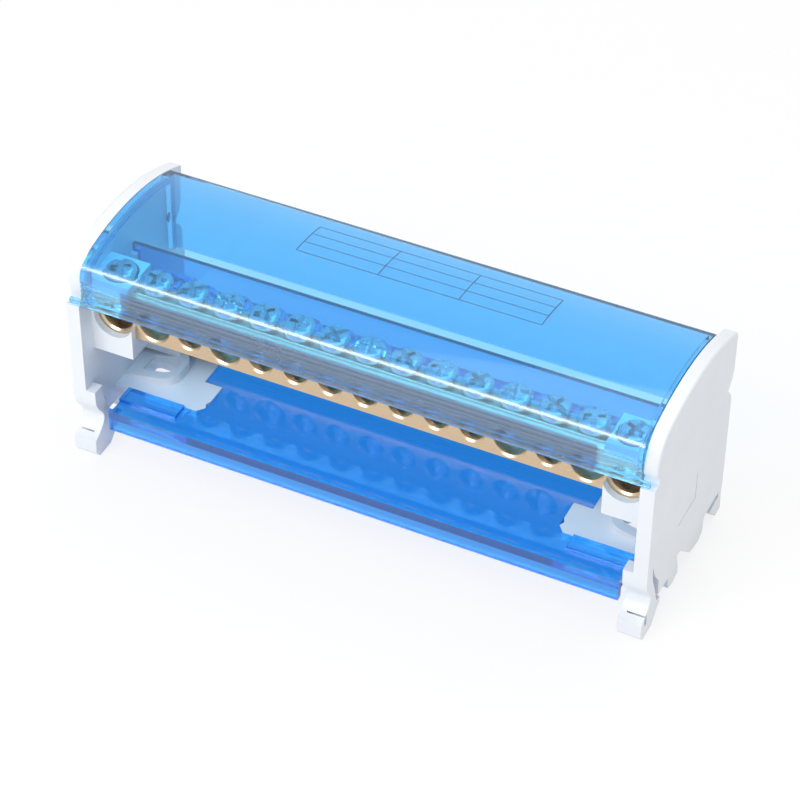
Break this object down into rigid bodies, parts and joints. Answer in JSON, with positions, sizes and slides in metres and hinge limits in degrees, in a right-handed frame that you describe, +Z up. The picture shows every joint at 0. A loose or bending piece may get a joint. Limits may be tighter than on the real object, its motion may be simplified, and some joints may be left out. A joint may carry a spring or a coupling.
{
  "type": "distribution terminal block",
  "caption": "Rail-mounted distribution block: drilled brass terminal bars between white end cheeks, a blue floor and a hinged see-through blue cover.",
  "frame": {"origin": "middle of the block's length, on the middle line of the mounting rail, in the plane of the face that the rail touches", "axes": "+X along the block's length and the rail, +Y from the wire side to the back, +Z up away from the rail"},
  "size_m": [0.137, 0.0474, 0.0554],
  "materials": {
    "white_moulding": "satin moulded white plastic",
    "blue_clear": "tinted see-through blue plastic",
    "blue_clear_cover": "tinted clear blue plastic",
    "bar_brass": "drawn brass, brushed along its length",
    "screw_steel": "bright zinc-plated steel"
  },
  "bodies": {
    "housing": {"left_cheek": "white_moulding", "right_cheek": "white_moulding", "base_tray": "blue_clear", "pole_barrier": "blue_clear", "upper_bar": "bar_brass", "lower_bar": "bar_brass"},
    "cover": {"cover": "blue_clear_cover"},
    "upper_screw_01": {"upper_screw_01": "screw_steel"},
    "upper_screw_02": {"upper_screw_02": "screw_steel"},
    "upper_screw_03": {"upper_screw_03": "screw_steel"},
    "upper_screw_04": {"upper_screw_04": "screw_steel"},
    "upper_screw_05": {"upper_screw_05": "screw_steel"},
    "upper_screw_06": {"upper_screw_06": "screw_steel"},
    "upper_screw_07": {"upper_screw_07": "screw_steel"},
    "upper_screw_08": {"upper_screw_08": "screw_steel"},
    "upper_screw_09": {"upper_screw_09": "screw_steel"},
    "upper_screw_10": {"upper_screw_10": "screw_steel"},
    "upper_screw_11": {"upper_screw_11": "screw_steel"},
    "upper_screw_12": {"upper_screw_12": "screw_steel"},
    "upper_screw_13": {"upper_screw_13": "screw_steel"},
    "upper_screw_14": {"upper_screw_14": "screw_steel"},
    "upper_screw_15": {"upper_screw_15": "screw_steel"},
    "lower_screw_01": {"lower_screw_01": "screw_steel"},
    "lower_screw_02": {"lower_screw_02": "screw_steel"},
    "lower_screw_03": {"lower_screw_03": "screw_steel"},
    "lower_screw_04": {"lower_screw_04": "screw_steel"},
    "lower_screw_05": {"lower_screw_05": "screw_steel"},
    "lower_screw_06": {"lower_screw_06": "screw_steel"},
    "lower_screw_07": {"lower_screw_07": "screw_steel"},
    "lower_screw_08": {"lower_screw_08": "screw_steel"},
    "lower_screw_09": {"lower_screw_09": "screw_steel"},
    "lower_screw_10": {"lower_screw_10": "screw_steel"},
    "lower_screw_11": {"lower_screw_11": "screw_steel"},
    "lower_screw_12": {"lower_screw_12": "screw_steel"},
    "lower_screw_13": {"lower_screw_13": "screw_steel"},
    "lower_screw_14": {"lower_screw_14": "screw_steel"},
    "lower_screw_15": {"lower_screw_15": "screw_steel"}
  },
  "joints": [
    {"name": "cover_hinge", "type": "hinge", "parent": "housing", "child": "cover", "pos_m": [0, 0.0142, 0.033], "axis": [-1, 0, 0], "range_deg": [0, 100]},
    {"name": "upper_screw_01_travel", "type": "slide", "parent": "housing", "child": "upper_screw_01", "axis": [0, 0, 1], "range_m": [-0.0004, 0.0038]},
    {"name": "upper_screw_02_travel", "type": "slide", "parent": "housing", "child": "upper_screw_02", "axis": [0, 0, 1], "range_m": [-0.0004, 0.0038]},
    {"name": "upper_screw_03_travel", "type": "slide", "parent": "housing", "child": "upper_screw_03", "axis": [0, 0, 1], "range_m": [-0.0004, 0.0038]},
    {"name": "upper_screw_04_travel", "type": "slide", "parent": "housing", "child": "upper_screw_04", "axis": [0, 0, 1], "range_m": [-0.0004, 0.0038]},
    {"name": "upper_screw_05_travel", "type": "slide", "parent": "housing", "child": "upper_screw_05", "axis": [0, 0, 1], "range_m": [-0.0004, 0.0038]},
    {"name": "upper_screw_06_travel", "type": "slide", "parent": "housing", "child": "upper_screw_06", "axis": [0, 0, 1], "range_m": [-0.0004, 0.0038]},
    {"name": "upper_screw_07_travel", "type": "slide", "parent": "housing", "child": "upper_screw_07", "axis": [0, 0, 1], "range_m": [-0.0004, 0.0038]},
    {"name": "upper_screw_08_travel", "type": "slide", "parent": "housing", "child": "upper_screw_08", "axis": [0, 0, 1], "range_m": [-0.0004, 0.0038]},
    {"name": "upper_screw_09_travel", "type": "slide", "parent": "housing", "child": "upper_screw_09", "axis": [0, 0, 1], "range_m": [-0.0004, 0.0038]},
    {"name": "upper_screw_10_travel", "type": "slide", "parent": "housing", "child": "upper_screw_10", "axis": [0, 0, 1], "range_m": [-0.0004, 0.0038]},
    {"name": "upper_screw_11_travel", "type": "slide", "parent": "housing", "child": "upper_screw_11", "axis": [0, 0, 1], "range_m": [-0.0004, 0.0038]},
    {"name": "upper_screw_12_travel", "type": "slide", "parent": "housing", "child": "upper_screw_12", "axis": [0, 0, 1], "range_m": [-0.0004, 0.0038]},
    {"name": "upper_screw_13_travel", "type": "slide", "parent": "housing", "child": "upper_screw_13", "axis": [0, 0, 1], "range_m": [-0.0004, 0.0038]},
    {"name": "upper_screw_14_travel", "type": "slide", "parent": "housing", "child": "upper_screw_14", "axis": [0, 0, 1], "range_m": [-0.0004, 0.0038]},
    {"name": "upper_screw_15_travel", "type": "slide", "parent": "housing", "child": "upper_screw_15", "axis": [0, 0, 1], "range_m": [-0.0004, 0.0038]},
    {"name": "lower_screw_01_travel", "type": "slide", "parent": "housing", "child": "lower_screw_01", "axis": [0, 0, 1], "range_m": [-0.0004, 0.0038]},
    {"name": "lower_screw_02_travel", "type": "slide", "parent": "housing", "child": "lower_screw_02", "axis": [0, 0, 1], "range_m": [-0.0004, 0.0038]},
    {"name": "lower_screw_03_travel", "type": "slide", "parent": "housing", "child": "lower_screw_03", "axis": [0, 0, 1], "range_m": [-0.0004, 0.0038]},
    {"name": "lower_screw_04_travel", "type": "slide", "parent": "housing", "child": "lower_screw_04", "axis": [0, 0, 1], "range_m": [-0.0004, 0.0038]},
    {"name": "lower_screw_05_travel", "type": "slide", "parent": "housing", "child": "lower_screw_05", "axis": [0, 0, 1], "range_m": [-0.0004, 0.0038]},
    {"name": "lower_screw_06_travel", "type": "slide", "parent": "housing", "child": "lower_screw_06", "axis": [0, 0, 1], "range_m": [-0.0004, 0.0038]},
    {"name": "lower_screw_07_travel", "type": "slide", "parent": "housing", "child": "lower_screw_07", "axis": [0, 0, 1], "range_m": [-0.0004, 0.0038]},
    {"name": "lower_screw_08_travel", "type": "slide", "parent": "housing", "child": "lower_screw_08", "axis": [0, 0, 1], "range_m": [-0.0004, 0.0038]},
    {"name": "lower_screw_09_travel", "type": "slide", "parent": "housing", "child": "lower_screw_09", "axis": [0, 0, 1], "range_m": [-0.0004, 0.0038]},
    {"name": "lower_screw_10_travel", "type": "slide", "parent": "housing", "child": "lower_screw_10", "axis": [0, 0, 1], "range_m": [-0.0004, 0.0038]},
    {"name": "lower_screw_11_travel", "type": "slide", "parent": "housing", "child": "lower_screw_11", "axis": [0, 0, 1], "range_m": [-0.0004, 0.0038]},
    {"name": "lower_screw_12_travel", "type": "slide", "parent": "housing", "child": "lower_screw_12", "axis": [0, 0, 1], "range_m": [-0.0004, 0.0038]},
    {"name": "lower_screw_13_travel", "type": "slide", "parent": "housing", "child": "lower_screw_13", "axis": [0, 0, 1], "range_m": [-0.0004, 0.0038]},
    {"name": "lower_screw_14_travel", "type": "slide", "parent": "housing", "child": "lower_screw_14", "axis": [0, 0, 1], "range_m": [-0.0004, 0.0038]},
    {"name": "lower_screw_15_travel", "type": "slide", "parent": "housing", "child": "lower_screw_15", "axis": [0, 0, 1], "range_m": [-0.0004, 0.0038]}
  ]
}
